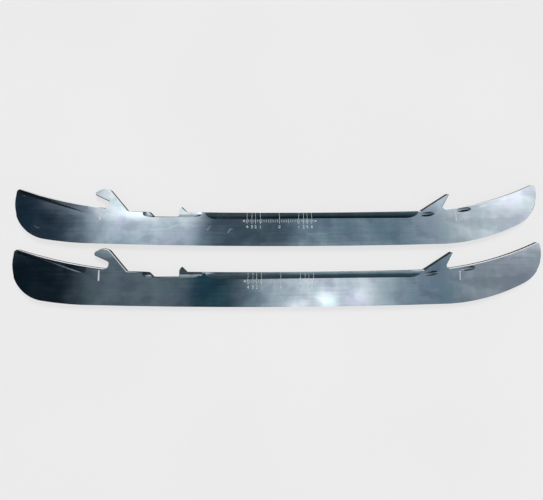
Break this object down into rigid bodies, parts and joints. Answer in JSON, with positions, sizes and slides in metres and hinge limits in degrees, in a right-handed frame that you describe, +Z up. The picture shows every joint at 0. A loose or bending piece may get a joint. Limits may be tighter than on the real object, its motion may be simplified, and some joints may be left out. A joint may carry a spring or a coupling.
{
  "type": "ice hockey skate runners",
  "caption": "Ice hockey skate runners: ground steel blades with a rear hook, notch, saddle and front barb for the holder, and a rockered, hollowed skating edge, lying side by side.",
  "frame": {"origin": "middle of the box of both runners, on the plane that they lie on", "axes": "+X along the runners towards the toes, +Y from the skating edges towards the holder sides, +Z up through the thickness"},
  "size_m": [0.2886, 0.0661, 0.003],
  "materials": {
    "runner_steel": "bright ground stainless steel with a fine lengthwise grain"
  },
  "bodies": {
    "left_runner": {"left_runner": "runner_steel"},
    "right_runner": {"right_runner": "runner_steel"}
  },
  "joints": [
    {"name": "right_runner_lift", "type": "slide", "parent": "left_runner", "child": "right_runner", "axis": [0, 0, 1], "range_m": [0, 0.06]}
  ]
}
